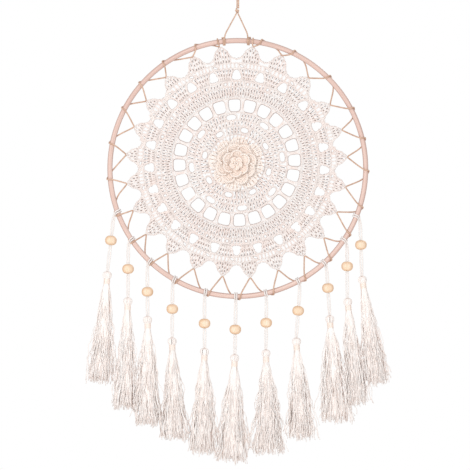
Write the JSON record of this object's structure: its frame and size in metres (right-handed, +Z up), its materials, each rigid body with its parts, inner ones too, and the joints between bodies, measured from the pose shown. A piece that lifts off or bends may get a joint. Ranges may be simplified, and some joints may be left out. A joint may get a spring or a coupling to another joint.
{
  "type": "dream catcher",
  "caption": "Cane hoop laced to a round crochet doily with a rose at its middle, hung from a twine loop, with beaded cords and tassels below.",
  "frame": {"origin": "inside top of the hanging loop, where a nail or hook bears", "axes": "+Z up, +X to the right seen from the front, the rose faces -Y"},
  "size_m": [0.3987, 0.03, 0.6539],
  "materials": {
    "cane": "peeled cane, pink-tan, satin",
    "crochet": "white cotton crochet, matte",
    "rose_crochet": "cream cotton crochet, matte",
    "twine": "tan waxed twine, matte",
    "cotton_cord": "white twisted cotton cord, matte",
    "bead_wood": "turned light wood, sanded",
    "tassel_thread": "ivory cotton threads, frayed",
    "binding_thread": "ivory thread wound tight, matte"
  },
  "bodies": {
    "hanger": {"hanger_loop": "twine"},
    "sling": {"hanger_knot": "twine", "leg_left": "twine", "leg_right": "twine"},
    "frame": {"hoop": "cane", "hitches": "cotton_cord", "lacing": "twine", "doily_center": "crochet", "doily_lattice": "crochet", "doily_shells": "crochet", "doily_points": "crochet", "rose_back": "rose_crochet", "rose_middle": "rose_crochet", "rose_front": "rose_crochet", "rose_bud": "rose_crochet"},
    "strand_01": {"cord_01": "cotton_cord"},
    "bead_01": {"bead_01": "bead_wood"},
    "tassel_01": {"tassel_01": "tassel_thread", "binding_01": "binding_thread"},
    "strand_02": {"cord_02": "cotton_cord"},
    "bead_02": {"bead_02": "bead_wood"},
    "tassel_02": {"tassel_02": "tassel_thread", "binding_02": "binding_thread"},
    "strand_03": {"cord_03": "cotton_cord"},
    "bead_03": {"bead_03": "bead_wood"},
    "tassel_03": {"tassel_03": "tassel_thread", "binding_03": "binding_thread"},
    "strand_04": {"cord_04": "cotton_cord"},
    "bead_04": {"bead_04": "bead_wood"},
    "tassel_04": {"tassel_04": "tassel_thread", "binding_04": "binding_thread"},
    "strand_05": {"cord_05": "cotton_cord"},
    "bead_05": {"bead_05": "bead_wood"},
    "tassel_05": {"tassel_05": "tassel_thread", "binding_05": "binding_thread"},
    "strand_06": {"cord_06": "cotton_cord"},
    "bead_06": {"bead_06": "bead_wood"},
    "tassel_06": {"tassel_06": "tassel_thread", "binding_06": "binding_thread"},
    "strand_07": {"cord_07": "cotton_cord"},
    "bead_07": {"bead_07": "bead_wood"},
    "tassel_07": {"tassel_07": "tassel_thread", "binding_07": "binding_thread"},
    "strand_08": {"cord_08": "cotton_cord"},
    "bead_08": {"bead_08": "bead_wood"},
    "tassel_08": {"tassel_08": "tassel_thread", "binding_08": "binding_thread"},
    "strand_09": {"cord_09": "cotton_cord"},
    "bead_09": {"bead_09": "bead_wood"},
    "tassel_09": {"tassel_09": "tassel_thread", "binding_09": "binding_thread"},
    "strand_10": {"cord_10": "cotton_cord"},
    "bead_10": {"bead_10": "bead_wood"},
    "tassel_10": {"tassel_10": "tassel_thread", "binding_10": "binding_thread"},
    "strand_11": {"cord_11": "cotton_cord"},
    "bead_11": {"bead_11": "bead_wood"},
    "tassel_11": {"tassel_11": "tassel_thread", "binding_11": "binding_thread"}
  },
  "joints": [
    {"name": "hang_twist", "type": "hinge", "parent": "hanger", "child": "sling", "pos_m": [-0.0008, 0, -0.045], "axis": [0, 0, 1], "range_deg": [-180, 180]},
    {"name": "hoop_tilt", "type": "hinge", "parent": "sling", "child": "frame", "pos_m": [-0.00209, 0, -0.08883], "axis": [0.9999, 0, 0.0122], "range_deg": [-60, 60]},
    {"name": "strand_swing_01", "type": "hinge", "parent": "frame", "child": "strand_01", "pos_m": [-0.16664, 0, -0.32467], "axis": [1, 0, 0], "range_deg": [-75, 75]},
    {"name": "bead_slide_01", "type": "slide", "parent": "strand_01", "child": "bead_01", "axis": [0.1115, 0, 0.9938], "range_m": [-0.0311, 0.0209]},
    {"name": "tassel_swing_01", "type": "hinge", "parent": "strand_01", "child": "tassel_01", "pos_m": [-0.17474, 0, -0.39682], "axis": [1, 0, 0], "range_deg": [-50, 50]},
    {"name": "strand_swing_02", "type": "hinge", "parent": "frame", "child": "strand_02", "pos_m": [-0.14693, 0, -0.36259], "axis": [1, 0, 0], "range_deg": [-75, 75]},
    {"name": "bead_slide_02", "type": "slide", "parent": "strand_02", "child": "bead_02", "axis": [0.007, 0, 1], "range_m": [-0.0276, 0.021]},
    {"name": "tassel_swing_02", "type": "hinge", "parent": "strand_02", "child": "tassel_02", "pos_m": [-0.14741, 0, -0.43179], "axis": [1, 0, 0], "range_deg": [-50, 50]},
    {"name": "strand_swing_03", "type": "hinge", "parent": "frame", "child": "strand_03", "pos_m": [-0.12139, 0, -0.39226], "axis": [1, 0, 0], "range_deg": [-75, 75]},
    {"name": "bead_slide_03", "type": "slide", "parent": "strand_03", "child": "bead_03", "axis": [-0.007, 0, 1], "range_m": [-0.0219, 0.022]},
    {"name": "tassel_swing_03", "type": "hinge", "parent": "strand_03", "child": "tassel_03", "pos_m": [-0.12094, 0, -0.45676], "axis": [1, 0, 0], "range_deg": [-50, 50]},
    {"name": "strand_swing_04", "type": "hinge", "parent": "frame", "child": "strand_04", "pos_m": [-0.08754, 0, -0.41702], "axis": [1, 0, 0], "range_deg": [-75, 75]},
    {"name": "bead_slide_04", "type": "slide", "parent": "strand_04", "child": "bead_04", "axis": [0.0087, 0, 1], "range_m": [-0.0276, 0.0203]},
    {"name": "tassel_swing_04", "type": "hinge", "parent": "strand_04", "child": "tassel_04", "pos_m": [-0.08814, 0, -0.48552], "axis": [1, 0, 0], "range_deg": [-50, 50]},
    {"name": "strand_swing_05", "type": "hinge", "parent": "frame", "child": "strand_05", "pos_m": [-0.04467, 0, -0.43431], "axis": [1, 0, 0], "range_deg": [-75, 75]},
    {"name": "bead_slide_05", "type": "slide", "parent": "strand_05", "child": "bead_05", "axis": [-0.0017, 0, 1], "range_m": [-0.0222, 0.0224]},
    {"name": "tassel_swing_05", "type": "hinge", "parent": "strand_05", "child": "tassel_05", "pos_m": [-0.04456, 0, -0.49951], "axis": [1, 0, 0], "range_deg": [-50, 50]},
    {"name": "strand_swing_06", "type": "hinge", "parent": "frame", "child": "strand_06", "pos_m": [-0.00276, 0, -0.43998], "axis": [1, 0, 0], "range_deg": [-75, 75]},
    {"name": "bead_slide_06", "type": "slide", "parent": "strand_06", "child": "bead_06", "axis": [0.0175, 0, 0.9998], "range_m": [-0.0225, 0.0248]},
    {"name": "tassel_swing_06", "type": "hinge", "parent": "strand_06", "child": "tassel_06", "pos_m": [-0.00395, 0, -0.50787], "axis": [1, 0, 0], "range_deg": [-50, 50]},
    {"name": "strand_swing_07", "type": "hinge", "parent": "frame", "child": "strand_07", "pos_m": [0.0384, 0, -0.43582], "axis": [1, 0, 0], "range_deg": [-75, 75]},
    {"name": "bead_slide_07", "type": "slide", "parent": "strand_07", "child": "bead_07", "axis": [0.0105, 0, 0.9999], "range_m": [-0.0252, 0.02]},
    {"name": "tassel_swing_07", "type": "hinge", "parent": "strand_07", "child": "tassel_07", "pos_m": [0.03771, 0, -0.50161], "axis": [1, 0, 0], "range_deg": [-50, 50]},
    {"name": "strand_swing_08", "type": "hinge", "parent": "frame", "child": "strand_08", "pos_m": [0.08324, 0, -0.41937], "axis": [1, 0, 0], "range_deg": [-75, 75]},
    {"name": "bead_slide_08", "type": "slide", "parent": "strand_08", "child": "bead_08", "axis": [0.0732, 0, 0.9973], "range_m": [-0.0255, 0.0204]},
    {"name": "tassel_swing_08", "type": "hinge", "parent": "strand_08", "child": "tassel_08", "pos_m": [0.07837, 0, -0.48569], "axis": [1, 0, 0], "range_deg": [-50, 50]},
    {"name": "strand_swing_09", "type": "hinge", "parent": "frame", "child": "strand_09", "pos_m": [0.11913, 0, -0.39433], "axis": [1, 0, 0], "range_deg": [-75, 75]},
    {"name": "bead_slide_09", "type": "slide", "parent": "strand_09", "child": "bead_09", "axis": [-0.0663, 0, 0.9978], "range_m": [-0.0261, 0.0149]},
    {"name": "tassel_swing_09", "type": "hinge", "parent": "strand_09", "child": "tassel_09", "pos_m": [0.12321, 0, -0.4558], "axis": [1, 0, 0], "range_deg": [-50, 50]},
    {"name": "strand_swing_10", "type": "hinge", "parent": "frame", "child": "strand_10", "pos_m": [0.14658, 0, -0.3631], "axis": [1, 0, 0], "range_deg": [-75, 75]},
    {"name": "bead_slide_10", "type": "slide", "parent": "strand_10", "child": "bead_10", "axis": [-0.0035, 0, 1], "range_m": [-0.0318, 0.017]},
    {"name": "tassel_swing_10", "type": "hinge", "parent": "strand_10", "child": "tassel_10", "pos_m": [0.14682, 0, -0.4325], "axis": [1, 0, 0], "range_deg": [-50, 50]},
    {"name": "strand_swing_11", "type": "hinge", "parent": "frame", "child": "strand_11", "pos_m": [0.16416, 0, -0.33092], "axis": [1, 0, 0], "range_deg": [-75, 75]},
    {"name": "bead_slide_11", "type": "slide", "parent": "strand_11", "child": "bead_11", "axis": [-0.0297, 0, 0.9996], "range_m": [-0.031, 0.0205]},
    {"name": "tassel_swing_11", "type": "hinge", "parent": "strand_11", "child": "tassel_11", "pos_m": [0.1663, 0, -0.40299], "axis": [1, 0, 0], "range_deg": [-50, 50]}
  ]
}
